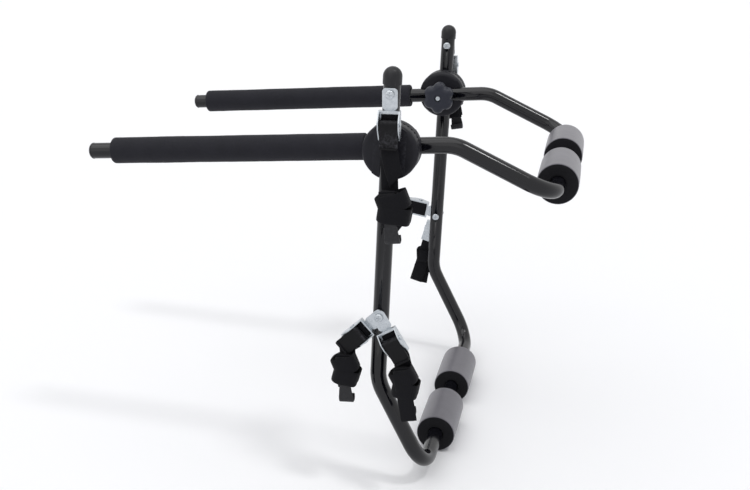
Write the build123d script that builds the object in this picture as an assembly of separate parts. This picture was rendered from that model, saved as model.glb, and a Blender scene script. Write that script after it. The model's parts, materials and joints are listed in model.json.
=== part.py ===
from build123d import *
import math
import os

# A folding strap-on bicycle carrier for the back of a car, in millimetres.
# +Z is up along the uprights, +X points to the car and +Y to the car's left side.
# The origin is the middle of the lower cross bar, on the axis of its two foam pads.

# Tubes
tube_dia = 25.0
tube_wall = 1.5
upright_spread = 526.0
arm_spread = 436.0
leg_reach = 81.0
leg_drop = 145.0
upright_below_hub = 364.0
upright_above_hub = 110.5
leg_bend_radius = 70.0
corner_radius = 48.0
arm_length = 489.0
arm_tilt = 6.3
arm_back = 90.0
bar_reach = 240.0
bar_drop = 53.0
arm_bend_radius = 60.0

# Foam
pad_dia = 65.0
pad_length = 112.0
pad_gap = 70.0
pad_end_round = 2.0
sleeve_dia = 41.0
sleeve_start_left = 57.5
sleeve_start_right = 43.5
bare_tip = 22.0
sleeve_end_round = 2.5

# Vinyl caps over the uprights' ends, and plugs in the arms' ends
cap_wall = 1.3
cap_skirt = 11.0
cap_dome_height = 14.0
plug_length = 16.0
plug_rim = 0.3
plug_dome_height = 6.5

# Toothed hubs
hub_dia = 84.0
hub_half_depth = 21.0
hub_rim_round = 7.0
tooth_count = 40
tooth_depth = 2.6
tooth_land = 1.4
tooth_ring_inner_dia = 54.0
cheek_foot_width = 49.0
cheek_top_width = 37.0
cheek_rise = 6.0
cheek_inset = 1.5
pivot_dia = 8.0
pivot_head_dia = 19.0
pivot_head_height = 4.5
pivot_head_round = 3.5

# Knobs
knob_dia = 57.0
knob_lobes = 6
knob_lobe_dia = 22.0
knob_waist = 4.0
knob_valley_round = 6.0
knob_depth = 23.0
knob_neck_dia = 30.0
knob_neck = 5.0
knob_face_round = 9.0
knob_back_round = 3.0
nut_across_flats = 13.0
nut_height = 8.0
recess_dia = 12.0
recess_depth = 6.0
bolt_end_in_recess = 3.0
saddle_dia = 28.0
saddle_wall = 4.0
saddle_hug = 3.0

# Strap bolts through the uprights
top_bolt_above_hub = 87.0
lower_bolt_below_hub = 251.0
strap_bolt_dia = 6.0
strap_bolt_head_dia = 13.0
strap_bolt_head_height = 3.6
strap_bolt_head_round = 2.2
cross_length = 7.2
cross_width = 1.2
cross_depth = 1.8
bolt_past_nut = 2.0
strap_nut_across_flats = 10.0
strap_nut_height = 5.0

# Cam buckles, each pressed from one sheet
sheet = 1.6
tab_width = 22.0
tab_above_bolt = 9.0
tab_corner = 5.5
frame_start = 22.0
frame_end = 64.0
frame_width = 31.4
flange_height = 17.0
flange_toe = 9.0
flange_above_pin = 3.0
flange_below_pin = 8.0
lip_height = 9.0
pin_dia = 5.0
pin_head_dia = 8.0
pin_head_height = 1.4
pin_below_bolt = 40.0
pin_height = 9.5
cam_dia = 11.0
cam_ribs = 5
cam_first_rib = -60.0
cam_rib_pitch = 24.0
cam_groove = 1.0
cam_groove_depth = 0.5
lever_length = 36.0
lever_thickness = 2.4
lever_width = 26.4
lever_lip = 3.0
lever_lip_thickness = 2.5
lever_corner = 2.0

# Webbing straps, each folded into a hank under its buckle
web_width = 25.0
web_thickness = 1.5
under_cam_height = 2.75
web_end_above_pin = 12.0
lead_rise = 13.0
lead_bend_radius = 8.0
hank_layers = 9
hank_pitch = 2.6
hank_fold = 46.0
hank_head = 16.0
fold_radius = 1.28
fold_inset = 2.0
fold_turn = 2.1
tail_start = 3.0
tail_step_out = 9.0
tail_bend_radius = 6.0
tail_lean = 4.0
top_right_lead = 122.0
top_left_lead = 80.0
top_lead_height = 8.0
lower_lead = 70.0
level_lead = 84.0
no_tail = 0.0
long_tail = 32.0

# Coated steel strap hooks, one at the end of each hank
hook_neck_width = 14.0
hook_toe_width = 22.0
hook_thickness = 3.0
hook_bend_radius = 4.5
hook_toe_height = 8.0
hook_below_hank = 26.0
hook_lap = 16.0
hook_mouth = 12.0
hook_lip = 9.0

# How each strap hangs: swing of its buckle towards the bikes, swing of its hank, length of its loose tail
top_right_hang = (-3.0, -9.0, no_tail)
top_left_hang = (-4.0, -12.0, no_tail)
lower_right_inner_hang = (45.0, -6.0, no_tail)
lower_right_outer_hang = (-34.0, -12.0, long_tail)
lower_left_inner_hang = (14.0, 10.0, no_tail)
lower_left_outer_hang = (98.0, 12.0, no_tail)

# Clearances
fit_gap = 0.1
shaft_gap = 0.05
moving_gap = 0.3
tooth_gap = 0.3

# Worked out from the sizes above
tube_radius = tube_dia / 2
hub_x = -leg_reach
hub_z = leg_drop + upright_below_hub
upright_y = upright_spread / 2
arm_y = arm_spread / 2
hub_mid_y = (upright_y + arm_y) / 2
upright_top_z = hub_z + upright_above_hub
arm_dir = Vector(-math.cos(math.radians(arm_tilt)), 0, -math.sin(math.radians(arm_tilt)))
hub_centre = Vector(hub_x, 0, hub_z)
sleeve_length = arm_length - sleeve_start_left - bare_tip
bar_x = hub_x + bar_reach
bar_z = hub_z - bar_drop
upright_face_y = upright_y + tube_radius
arm_inner_y = arm_y - tube_radius
knob_base_y = arm_inner_y - saddle_wall - moving_gap
knob_neck_y = knob_base_y - knob_neck
knob_face_y = knob_neck_y - knob_depth
web_half = web_thickness / 2
over = 1.0
stands_on = (Align.CENTER, Align.CENTER, Align.MIN)

os.makedirs("parts", exist_ok=True)


def write(name, shape):
    """Writes one named sub-part as a STEP file and prints its size."""
    solids = shape.solids()
    body = solids[0] if len(solids) == 1 else Compound(children=list(solids))
    body.label = name
    export_step(body, f"parts/{name}.step")
    size = body.bounding_box().size
    print(f"{name}: {len(solids)} solid, {size.X:.0f} x {size.Y:.0f} x {size.Z:.0f} mm")


def along_y(radius, start, end, x=0.0, z=0.0):
    """A round bar along Y, from the lower of two places to the higher."""
    bar = Cylinder(radius, abs(end - start), align=stands_on)
    return Pos(x, min(start, end), z) * Rot(-90, 0, 0) * bar


def along_x(radius, start, end, y=0.0, z=0.0):
    """A round bar along X between two places."""
    return Pos(start, y, z) * Rot(0, 90, 0) * Cylinder(radius, end - start, align=stands_on)


def block(x0, x1, y0, y1, z0, z1):
    """A box given by its two corners."""
    return Pos((x0 + x1) / 2, (y0 + y1) / 2, (z0 + z1) / 2) * Box(x1 - x0, y1 - y0, z1 - z0)


def bent_tube(points, radii):
    """A round tube swept along straight runs joined by bends."""
    path = FilletPolyline(*points, radius=radii)
    start = Plane(origin=path @ 0, z_dir=path % 0)
    ring = Circle(tube_radius) - Circle(tube_radius - tube_wall)
    return sweep(start * ring, path=path)


def near_side(shape):
    """The same piece on the car's right side."""
    return mirror(shape, about=Plane.XZ)


def make_lower_frame():
    """The bent tube with both uprights, drilled for the hub and strap bolts."""
    points = [
        (hub_x, -upright_y, upright_top_z),
        (hub_x, -upright_y, leg_drop),
        (0, -upright_y, 0),
        (0, upright_y, 0),
        (hub_x, upright_y, leg_drop),
        (hub_x, upright_y, upright_top_z),
    ]
    tube = bent_tube(points, [leg_bend_radius, corner_radius, corner_radius, leg_bend_radius])
    reach = upright_y + tube_dia
    tube -= along_y(pivot_dia / 2 + shaft_gap, -reach, reach, hub_x, hub_z)
    for z in (hub_z + top_bolt_above_hub, hub_z - lower_bolt_below_hub):
        tube -= along_y(strap_bolt_dia / 2 + shaft_gap, -reach, reach, hub_x, z)
    return tube


def make_arm_frame():
    """The bent tube with both bike arms and the upper cross bar."""
    tip = hub_centre + arm_dir * arm_length
    bend = hub_centre - arm_dir * arm_back
    points = [
        (tip.X, -arm_y, tip.Z),
        (bend.X, -arm_y, bend.Z),
        (bar_x, -arm_y, bar_z),
        (bar_x, arm_y, bar_z),
        (bend.X, arm_y, bend.Z),
        (tip.X, arm_y, tip.Z),
    ]
    tube = bent_tube(points, [arm_bend_radius, corner_radius, corner_radius, arm_bend_radius])
    reach = arm_y + tube_dia
    return tube - along_y(pivot_dia / 2 + shaft_gap, -reach, reach, hub_x, hub_z)


def make_cap():
    """A domed vinyl cap, with the tube end at z 0 inside it."""
    outer = tube_radius + cap_wall
    skirt = Pos(0, 0, -cap_skirt) * Cylinder(outer, cap_skirt, align=stands_on)
    dome = Sphere(outer) & block(-outer, outer, -outer, outer, 0, outer)
    body = skirt + scale(dome, (1, 1, cap_dome_height / outer))
    return body - Pos(0, 0, -cap_skirt) * Cylinder(tube_radius + fit_gap / 2, cap_skirt, align=stands_on)


def make_plug():
    """A domed vinyl plug, with the tube end at z 0 under its rim."""
    rim = tube_radius + plug_rim
    dome = Sphere(rim) & block(-rim, rim, -rim, rim, 0, rim)
    stem = Cylinder(tube_radius - tube_wall - shaft_gap, plug_length + over, align=stands_on)
    return Pos(0, 0, -plug_length) * stem + scale(dome, (1, 1, plug_dome_height / rim))


def arm_plane(distance, side=1):
    """A plane across an arm, at a distance from the hub, facing the tip."""
    origin = hub_centre + arm_dir * distance + Vector(0, side * arm_y, 0)
    return Plane(origin=origin, x_dir=(0, 1, 0), z_dir=arm_dir)


def make_sleeve(start):
    """The foam sleeve on one arm, slid on to its start."""
    ring = Circle(sleeve_dia / 2) - Circle(tube_radius + fit_gap / 2)
    sleeve = extrude(ring, sleeve_length)
    ends = sleeve.edges().filter_by(GeomType.CIRCLE).group_by(SortBy.RADIUS)[-1]
    return arm_plane(start) * fillet(ends, sleeve_end_round)


def make_pad(x, z):
    """A foam roller pad on a cross bar."""
    start = pad_gap / 2
    pad = along_y(pad_dia / 2, start, start + pad_length, x, z)
    ends = pad.edges().filter_by(GeomType.CIRCLE)
    pad = fillet(ends, pad_end_round)
    return pad - along_y(tube_radius + moving_gap, start, start + pad_length, x, z)


def tooth_grooves(face_y, inward):
    """Radial V grooves cut into one face of a hub half."""
    inner = tooth_ring_inner_dia / 2
    reach = hub_dia / 2 + over - inner
    pitch = math.pi * hub_dia / tooth_count
    half = (pitch - tooth_land) / 2
    mouth = half * (1 + over / tooth_depth)
    corners = [(-mouth, -over * inward), (0, tooth_depth * inward), (mouth, -over * inward)]
    profile = Polyline(*corners, close=True)
    plane = Plane(origin=(inner, face_y, 0), x_dir=(0, 0, 1), z_dir=(-1, 0, 0))
    wedge = extrude(plane * make_face(profile), -reach)
    return [Rot(0, 360 / tooth_count * (i + 0.5), 0) * wedge for i in range(tooth_count)]


def tube_channel(tube_y, direction):
    """The round channel that a tube lies in, through the middle of a hub."""
    start = Plane(origin=Vector(0, tube_y, 0) - direction * hub_dia, z_dir=direction)
    return start * Cylinder(tube_radius + fit_gap / 2, hub_dia * 2, align=stands_on)


def make_cheek(back_y, direction, inward):
    """The raised band on a hub half that hugs the tube, with sloping sides."""
    foot, top = cheek_foot_width / 2, cheek_top_width / 2
    low, high = -over * inward, cheek_rise * inward
    profile = make_face(Polyline((-foot, low), (foot, low), (top, high), (-top, high), close=True))
    across = direction.cross(Vector(0, 1, 0))
    plane = Plane(origin=Vector(0, back_y, 0) - direction * hub_dia, x_dir=across, z_dir=direction)
    band = extrude(plane * profile, hub_dia * 2)
    return band & along_y(hub_dia / 2 - cheek_inset, back_y + low, back_y + high)


def make_hub_half(tube_y, channel_dir, inward):
    """A plastic hub half that holds one tube in a channel and has teeth on its other face."""
    face_y = hub_mid_y + inward * tooth_gap / 2
    back_y = face_y + inward * hub_half_depth
    half = along_y(hub_dia / 2, face_y, back_y)
    rim = half.edges().filter_by(GeomType.CIRCLE).sort_by(Axis.Y)[-1 if inward > 0 else 0]
    half = fillet(rim, hub_rim_round)
    half += make_cheek(back_y, channel_dir, inward)
    half -= tooth_grooves(face_y, inward)
    half -= tube_channel(tube_y, channel_dir)
    half -= along_y(pivot_dia / 2 + shaft_gap, face_y, back_y + cheek_rise * inward)
    return Pos(hub_x, 0, hub_z) * half


def make_pivot_bolt():
    """The long bolt that clamps one hub, with a low domed head on the outside."""
    tip_y = knob_face_y + recess_depth - bolt_end_in_recess
    bolt = along_y(pivot_dia / 2, tip_y, upright_face_y + over)
    head = along_y(pivot_head_dia / 2, upright_face_y, upright_face_y + pivot_head_height)
    rim = head.edges().filter_by(GeomType.CIRCLE).sort_by(Axis.Y)[-1]
    return Pos(hub_x, 0, hub_z) * (bolt + fillet(rim, pivot_head_round))


def make_saddle():
    """The shaped washer between the arm tube and the knob."""
    saddle = along_y(saddle_dia / 2, arm_inner_y - saddle_wall, arm_inner_y + saddle_hug)
    saddle -= tube_channel(arm_y, arm_dir)
    saddle -= along_y(pivot_dia / 2 + shaft_gap, arm_inner_y - saddle_wall, arm_inner_y + saddle_hug + over)
    return Pos(hub_x, 0, hub_z) * saddle


def nut_prism(radius_gap=0.0):
    """The hexagon of the knob's nut, from its mouth towards the knob's face."""
    hexagon = RegularPolygon((nut_across_flats / 2 + radius_gap) / math.cos(math.pi / 6), 6)
    plane = Plane(origin=(0, knob_neck_y, 0), x_dir=(1, 0, 0), z_dir=(0, -1, 0))
    return extrude(plane * hexagon, nut_height)


def make_knob():
    """A lobed hand knob with a neck, a nut pocket and a recess on its face."""
    ring = knob_dia / 2 - knob_lobe_dia / 2
    outline = Circle(ring + knob_waist)
    outline += PolarLocations(ring, knob_lobes, start_angle=30) * Circle(knob_lobe_dia / 2)
    outline = fillet(outline.vertices(), knob_valley_round)
    plane = Plane(origin=(0, knob_neck_y, 0), x_dir=(1, 0, 0), z_dir=(0, -1, 0))
    knob = extrude(plane * outline, knob_depth)
    front = knob.faces().sort_by(Axis.Y)[0]
    knob = fillet(front.edges(), knob_face_round)
    back = knob.faces().sort_by(Axis.Y)[-1]
    knob = fillet(back.edges(), knob_back_round)
    knob += along_y(knob_neck_dia / 2, knob_neck_y - over, knob_base_y)
    knob -= nut_prism(fit_gap)
    knob -= along_y(nut_across_flats / 2 + fit_gap, knob_neck_y - over, knob_base_y + over)
    knob -= along_y(pivot_dia / 2 + shaft_gap, knob_face_y - over, knob_base_y + over)
    knob -= along_y(recess_dia / 2, knob_face_y - over, knob_face_y + recess_depth)
    return Pos(hub_x, 0, hub_z) * knob


def make_knob_nut():
    """The steel nut held in the knob."""
    nut = nut_prism() - along_y(pivot_dia / 2 + shaft_gap, knob_face_y, knob_base_y)
    return Pos(hub_x, 0, hub_z) * nut


def strap_bolt(z, plates, side):
    """One strap bolt with its head towards the car's right side, and its nut."""
    stack = plates * (sheet + moving_gap) + moving_gap
    near_y = side * upright_y - tube_radius - (stack if side < 0 else 0)
    far_y = side * upright_y + tube_radius + (stack if side > 0 else 0)
    bolt = along_y(strap_bolt_dia / 2, near_y - over, far_y + strap_nut_height + bolt_past_nut)
    head = along_y(strap_bolt_head_dia / 2, near_y - strap_bolt_head_height, near_y)
    rim = head.edges().filter_by(GeomType.CIRCLE).sort_by(Axis.Y)[0]
    head = fillet(rim, strap_bolt_head_round)
    top_y = near_y - strap_bolt_head_height
    long, wide = cross_length / 2, cross_width / 2
    slot = block(-long, long, top_y - over, top_y + cross_depth, -wide, wide)
    head -= slot
    head -= Rot(0, 90, 0) * slot
    bolt = Pos(hub_x, 0, z) * (bolt + head)
    plane = Plane(origin=(hub_x, far_y, z), x_dir=(1, 0, 0), z_dir=(0, -1, 0))
    hexagon = RegularPolygon(strap_nut_across_flats / 2 / math.cos(math.pi / 6), 6)
    nut = extrude(plane * hexagon, -strap_nut_height)
    nut -= along_y(strap_bolt_dia / 2, far_y - over, far_y + strap_nut_height + over, hub_x, z)
    return bolt, nut


def make_buckle_frame():
    """The pressed buckle: bolt tab, base, lip and two flanges. Its bolt is at the origin."""
    half = frame_width / 2
    tab = RectangleRounded(tab_width, tab_above_bolt + frame_start, tab_corner)
    tab = Pos(0, 0, (tab_above_bolt - frame_start) / 2) * Rot(90, 0, 0) * tab
    body = extrude(tab, sheet, dir=(0, 1, 0))
    body += block(-half, half, 0, sheet, -frame_end, -frame_start)
    body += block(-half, half, 0, lip_height, -frame_start - sheet, -frame_start)
    outline = Polyline(
        (0, -frame_start),
        (lip_height, -frame_start),
        (flange_height, -pin_below_bolt + flange_above_pin),
        (flange_height, -pin_below_bolt - flange_below_pin),
        (flange_toe, -frame_end),
        (0, -frame_end),
        close=True,
    )
    profile = make_face(outline)
    for edge_x in (-half, half - sheet):
        plane = Plane(origin=(edge_x, 0, 0), x_dir=(0, 1, 0), z_dir=(1, 0, 0))
        body += extrude(plane * profile, sheet)
    body -= along_x(pin_dia / 2 + fit_gap / 2, -half - over, half + over, pin_height, -pin_below_bolt)
    body -= along_y(strap_bolt_dia / 2 + shaft_gap, -over, sheet + over)
    return body


def make_cam_pin():
    """The riveted pin that the cam turns on."""
    half = frame_width / 2
    pin = along_x(pin_dia / 2, -half - over, half + over, pin_height, -pin_below_bolt)
    for x in (-half - pin_head_height, half):
        pin += along_x(pin_head_dia / 2, x, x + pin_head_height, pin_height, -pin_below_bolt)
    return pin


def make_cam():
    """The cam: a ribbed barrel with a coated lever that points down over the webbing."""
    half = frame_width / 2 - sheet - moving_gap
    cam = along_x(cam_dia / 2, -half, half, pin_height, -pin_below_bolt)
    lever_y = pin_height + cam_dia / 2 - lever_thickness
    lever_end = -pin_below_bolt - lever_length
    half_lever = lever_width / 2
    outer_y = lever_y + lever_thickness
    cam += block(-half_lever, half_lever, lever_y, outer_y, lever_end, -pin_below_bolt)
    lip_top = lever_end + lever_lip_thickness
    cam += block(-half_lever, half_lever, lever_y, outer_y + lever_lip, lever_end, lip_top)
    corners = cam.edges().filter_by(Axis.Y).group_by(Axis.Z)[0]
    cam = fillet(corners, lever_corner)
    cam -= along_x(pin_dia / 2 + shaft_gap, -half - over, half + over, pin_height, -pin_below_bolt)
    grip = -cam_dia / 2
    wide = cam_groove / 2
    groove = block(-half - over, half + over, grip - over, grip + cam_groove_depth, -wide, wide)
    for i in range(cam_ribs):
        turn = cam_first_rib + cam_rib_pitch * i
        cam -= Pos(0, pin_height, -pin_below_bolt) * Rot(turn, 0, 0) * groove
    return cam


def ribbon(points, radii):
    """Webbing swept on edge along a line in the YZ plane."""
    path = FilletPolyline(*[(0, y, z) for y, z in points], radius=radii)
    start = Plane(origin=path @ 0, x_dir=(1, 0, 0), z_dir=path % 0)
    solid = sweep(start * Rectangle(web_width, web_thickness), path=path)
    return solid, path


def least_gap(path):
    """The least gap between two parts of the webbing that are not neighbours along it."""
    step = 1.5
    count = int(path.length / step)
    spots = [path @ (i / count) for i in range(count + 1)]
    apart = math.ceil(4 * hank_pitch / step)
    pairs = [(i, j) for i in range(count + 1) for j in range(i + apart, count + 1)]
    return min((spots[i] - spots[j]).length for i, j in pairs) - web_thickness


def make_lead(lead, lead_height):
    """The webbing from its end above the cam, under the cam and down to the hank."""
    points = [(under_cam_height, -pin_below_bolt + web_end_above_pin)]
    if lead_height > under_cam_height:
        points += [(under_cam_height, -frame_end - over), (lead_height, -frame_end - over - lead_rise)]
    points += [(lead_height, -lead)]
    if len(points) == 2:
        (y0, z0), (y1, z1) = points
        return block(-web_width / 2, web_width / 2, y0 - web_half, y0 + web_half, z1, z0)
    return ribbon(points, lead_bend_radius)[0]


def hank_points(first_y):
    """The folds of a hank, from its top at z 0, with uneven fold lengths."""
    folds = [(first_y, 0)]
    for layer in range(hank_layers):
        y = first_y + layer * hank_pitch
        inset = fold_inset * math.sin(fold_turn * layer)
        high = -hank_head - inset
        low = -hank_head - hank_fold + inset
        first, last = (high, low) if layer % 2 == 0 else (low, high)
        if layer > 0:
            folds.append((y, first))
        folds.append((y, last))
    return folds


def make_tail(end_y, tail_length):
    """The loose end of the webbing, which hangs outside the hook."""
    tail_y = end_y + hook_thickness + web_thickness + moving_gap
    top = -hank_head - tail_start
    low = -hank_head - hank_fold
    points = [(end_y, top), (tail_y, top - tail_step_out), (tail_y, low)]
    points += [(tail_y + tail_lean, low - tail_length)]
    return ribbon(points, tail_bend_radius)[0]


def make_strap(lead, lead_height, buckle_swing, hank_swing, tail_length):
    """One webbing strap and the hook at its end, in the buckle's own frame."""
    folds = hank_points(lead_height)
    hank, path = ribbon(folds, fold_radius)
    print(f"least gap of the webbing to itself: {least_gap(path):.2f} mm")
    end_y, end_z = folds[-1]
    if tail_length > 0:
        hank += make_tail(end_y, tail_length)
    turned = Pos(0, 0, -lead) * Rot(0, hank_swing - buckle_swing, 0)
    strap = make_lead(lead, lead_height) + turned * hank
    strap += along_y(web_width / 2, lead_height - web_half, lead_height + web_half, 0, -lead)
    return strap, turned * make_hook(end_y)


def make_hook(web_y):
    """A coated strap hook that hangs from the last fold of the hank, wider at its toe."""
    top = -hank_head - hank_fold + hook_lap
    end = -hank_head - hank_fold - hook_below_hank
    middle = web_y + web_half + hook_thickness / 2
    inner = middle - hook_mouth
    points = [(0, middle, top), (0, middle, end), (0, inner, end), (0, inner, end + hook_lip)]
    path = FilletPolyline(*points, radius=hook_bend_radius)
    start = Plane(origin=path @ 0, x_dir=(1, 0, 0), z_dir=path % 0)
    hook = sweep(start * Rectangle(hook_toe_width, hook_thickness), path=path)
    neck, toe, low = hook_neck_width / 2, hook_toe_width / 2, end - hook_thickness
    flare = end + hook_toe_height
    corners = [(-neck, top), (neck, top), (toe, flare), (toe, low), (-toe, low), (-toe, flare)]
    outline = Polyline(*corners, close=True)
    plane = Plane(origin=(0, middle + 2 * hook_mouth, 0), x_dir=(1, 0, 0), z_dir=(0, -1, 0))
    return hook & extrude(plane * make_face(outline), 4 * hook_mouth)


def place_buckle(shape, z, level, swing, side):
    """Puts a piece from the buckle's own frame on its bolt."""
    y = upright_face_y + moving_gap + level * (sheet + moving_gap)
    placed = Pos(hub_x, y, z) * Rot(0, swing, 0) * shape
    return placed if side > 0 else near_side(placed)


def buckle_set(name, z, level, hang, side, lead, lead_height):
    """Writes the five pieces of one strap."""
    swing, hank_swing, tail_length = hang
    strap, hook = make_strap(lead, lead_height, swing, hank_swing, tail_length)
    pieces = {
        f"buckle_{name}": make_buckle_frame(),
        f"cam_{name}": make_cam(),
        f"cam_pin_{name}": make_cam_pin(),
        f"strap_{name}": strap,
        f"hook_{name}": hook,
    }
    for node, shape in pieces.items():
        write(node, place_buckle(shape, z, level, swing, side))


def write_frames():
    """Writes the tubes, caps and foam."""
    write("lower_frame_tube", make_lower_frame())
    write("arm_frame_tube", make_arm_frame())
    cap = make_cap()
    plug = make_plug()
    for side, word in ((1, "left"), (-1, "right")):
        write(f"upright_cap_{word}", Pos(hub_x, side * upright_y, upright_top_z) * cap)
        write(f"arm_cap_{word}", arm_plane(arm_length, side) * plug)
    write("arm_sleeve_left", make_sleeve(sleeve_start_left))
    write("arm_sleeve_right", near_side(make_sleeve(sleeve_start_right)))
    for name, x, z in (("lower", 0, 0), ("upper", bar_x, bar_z)):
        pad = make_pad(x, z)
        write(f"{name}_pad_left", pad)
        write(f"{name}_pad_right", near_side(pad))


def write_hubs():
    """Writes both hubs with their bolts, saddles, knobs and nuts."""
    pieces = {
        "hub_outer_half": make_hub_half(upright_y, Vector(0, 0, 1), 1),
        "hub_inner_half": make_hub_half(arm_y, arm_dir, -1),
        "pivot_bolt": make_pivot_bolt(),
        "knob_saddle": make_saddle(),
        "knob": make_knob(),
        "knob_nut": make_knob_nut(),
    }
    for name, shape in pieces.items():
        write(f"{name}_left", shape)
        write(f"{name}_right", near_side(shape))


def write_straps():
    """Writes the strap bolts and the six straps with their buckles."""
    top_z = hub_z + top_bolt_above_hub
    lower_z = hub_z - lower_bolt_below_hub
    fixings = [strap_bolt(top_z, 1, side) for side in (1, -1)]
    fixings += [strap_bolt(lower_z, 2, side) for side in (1, -1)]
    write("strap_bolts", Compound(children=[bolt for bolt, nut in fixings]))
    write("strap_nuts", Compound(children=[nut for bolt, nut in fixings]))
    buckle_set("top_left", top_z, 0, top_left_hang, 1, top_left_lead, top_lead_height)
    buckle_set("top_right", top_z, 0, top_right_hang, -1, top_right_lead, top_lead_height)
    low = lower_lead, under_cam_height
    buckle_set("lower_left_inner", lower_z, 0, lower_left_inner_hang, 1, *low)
    buckle_set("lower_left_outer", lower_z, 1, lower_left_outer_hang, 1, level_lead, under_cam_height)
    buckle_set("lower_right_inner", lower_z, 0, lower_right_inner_hang, -1, *low)
    buckle_set("lower_right_outer", lower_z, 1, lower_right_outer_hang, -1, *low)


write_frames()
write_hubs()
write_straps()
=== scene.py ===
# %% [markdown]
# # Dressing a folding bicycle carrier
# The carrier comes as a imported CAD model: two bent tube frames on toothed hubs, foam, and six
# webbing straps in cam buckles. This lesson gives every part the surface that the real one has.
# Hard parts keep their CAD shape. Foam and webbing are made again here, because a CAD solid is
# too plain for them. Everything is in metres, with +Z up and +Y to the car's left side.

# %% Load the model
import json
import math
import random
import bpy
from mathutils import Matrix, Vector, noise


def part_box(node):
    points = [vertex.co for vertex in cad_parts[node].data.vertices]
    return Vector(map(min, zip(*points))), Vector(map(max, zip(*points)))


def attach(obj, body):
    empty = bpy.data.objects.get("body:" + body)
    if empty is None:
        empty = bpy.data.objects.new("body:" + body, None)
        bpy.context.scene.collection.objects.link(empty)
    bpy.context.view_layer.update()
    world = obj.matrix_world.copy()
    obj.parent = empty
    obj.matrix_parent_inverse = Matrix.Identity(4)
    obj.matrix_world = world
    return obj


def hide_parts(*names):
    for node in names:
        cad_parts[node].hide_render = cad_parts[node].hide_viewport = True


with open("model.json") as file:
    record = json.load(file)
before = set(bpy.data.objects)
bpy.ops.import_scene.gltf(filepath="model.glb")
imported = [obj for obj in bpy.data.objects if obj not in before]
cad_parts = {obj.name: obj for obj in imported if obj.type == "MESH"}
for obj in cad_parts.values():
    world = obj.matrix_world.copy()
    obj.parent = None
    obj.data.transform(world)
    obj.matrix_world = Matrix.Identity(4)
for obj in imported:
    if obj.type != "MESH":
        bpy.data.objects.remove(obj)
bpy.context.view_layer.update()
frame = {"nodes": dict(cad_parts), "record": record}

nodes = frame["nodes"]
MM = 0.001
MM_PER_METRE = 1000.0
TURN = 2 * math.pi
random.seed(7)

# %% [markdown]
# ## The view
# A camera can be placed by eye, or worked out from the picture. The place and the lens here were
# fitted to measured points of the tubes, so the CAD model falls on the photographed one. Three
# directions say how the camera stands: its right, its up, and the way it looks back along.

# %% Camera
right = Vector((0.97513, 0.21745, 0.04289))
up = Vector((-0.11121, 0.31261, 0.94335))
back = Vector((0.19173, -0.92466, 0.32902))
camera = bpy.data.objects.new("camera", bpy.data.cameras.new("camera"))
bpy.context.scene.collection.objects.link(camera)
turn = Matrix((right, up, back)).transposed().to_4x4()
camera.matrix_world = Matrix.Translation((0.1902, -1.64027, 0.85691)) @ turn
camera.data.sensor_width = 36
camera.data.lens = 48.06
camera.data.clip_start = 0.05
camera.data.clip_end = 200
bpy.context.scene.camera = camera
print("camera", [round(v, 3) for v in camera.location], "lens", round(camera.data.lens, 2))

# %% [markdown]
# ## Building a material
# Nodes can be placed by hand in the editor, or written in code. A small helper keeps the code
# short: it adds a node, sets its values by socket name and links its inputs.

# %% Node helpers
def add_node(tree, kind, links=None, label=None, **values):
    """Adds a node. Values set its properties, and links fill its inputs with numbers or sockets."""
    node = tree.nodes.new(kind)
    if label:
        node.label = label
    for key, value in values.items():
        setattr(node, key, value)
    for key, value in (links or {}).items():
        socket = node.inputs[key]
        if isinstance(value, bpy.types.NodeSocket):
            tree.links.new(value, socket)
        else:
            socket.default_value = value
    return node


def new_group(name, inputs, outputs):
    """Starts a shader node group with named sockets. Returns its tree, input node and output node."""
    tree = bpy.data.node_groups.new(name, "ShaderNodeTree")
    for label, kind, value in inputs:
        socket = tree.interface.new_socket(label, in_out="INPUT", socket_type=kind)
        if value is not None:
            socket.default_value = value
    for label, kind in outputs:
        tree.interface.new_socket(label, in_out="OUTPUT", socket_type=kind)
    return tree, tree.nodes.new("NodeGroupInput"), tree.nodes.new("NodeGroupOutput")


def math_node(tree, operation, first, second=0.0):
    """One sum and its result."""
    return add_node(tree, "ShaderNodeMath", {0: first, 1: second}, operation=operation).outputs[0]


def remap(tree, value, start, end, low=0.0, high=1.0):
    """A value moved from one range to another and held inside it."""
    return add_node(tree, "ShaderNodeMapRange", {
        "Value": value, "From Min": start, "From Max": end, "To Min": low, "To Max": high,
    }).outputs["Result"]


def cells_per_metre(tree, size_mm):
    """The texture scale that gives features of a size in millimetres."""
    return math_node(tree, "DIVIDE", MM_PER_METRE, size_mm)


def masked(tree, first, second, amount):
    """Two masks and an amount, multiplied."""
    return math_node(tree, "MULTIPLY", math_node(tree, "MULTIPLY", first, second), amount)


print("helpers ready")

# %% [markdown]
# ## Grain
# Moulded plastic, paint and vinyl all have a fine uneven skin. One group of two noises at
# different sizes serves them all: each material gives it its own grain size in millimetres.

# %% Group: fine grain
FLOAT, VECTOR = "NodeSocketFloat", "NodeSocketVector"
tree, given, result = new_group(
    "fine grain",
    [("Vector", VECTOR, None), ("Grain mm", FLOAT, 0.5), ("Blotch mm", FLOAT, 20.0)],
    [("Height", FLOAT), ("Blotch", FLOAT)],
)
fine = add_node(tree, "ShaderNodeTexNoise", {
    "Vector": given.outputs["Vector"],
    "Scale": cells_per_metre(tree, given.outputs["Grain mm"]),
    "Detail": 3.0, "Roughness": 0.6,
})
broad = add_node(tree, "ShaderNodeTexNoise", {
    "Vector": given.outputs["Vector"],
    "Scale": cells_per_metre(tree, given.outputs["Blotch mm"]),
    "Detail": 4.0, "Roughness": 0.55,
})
tree.links.new(fine.outputs["Fac"], result.inputs["Height"])
tree.links.new(broad.outputs["Fac"], result.inputs["Blotch"])
fine_grain = tree
print("group", tree.name)

# %% [markdown]
# ## Worn edges
# Handling rubs a finish thin where the surface is convex. Pointiness finds those places, and a
# noise breaks them up, so that the wear isn't an even line.

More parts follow.
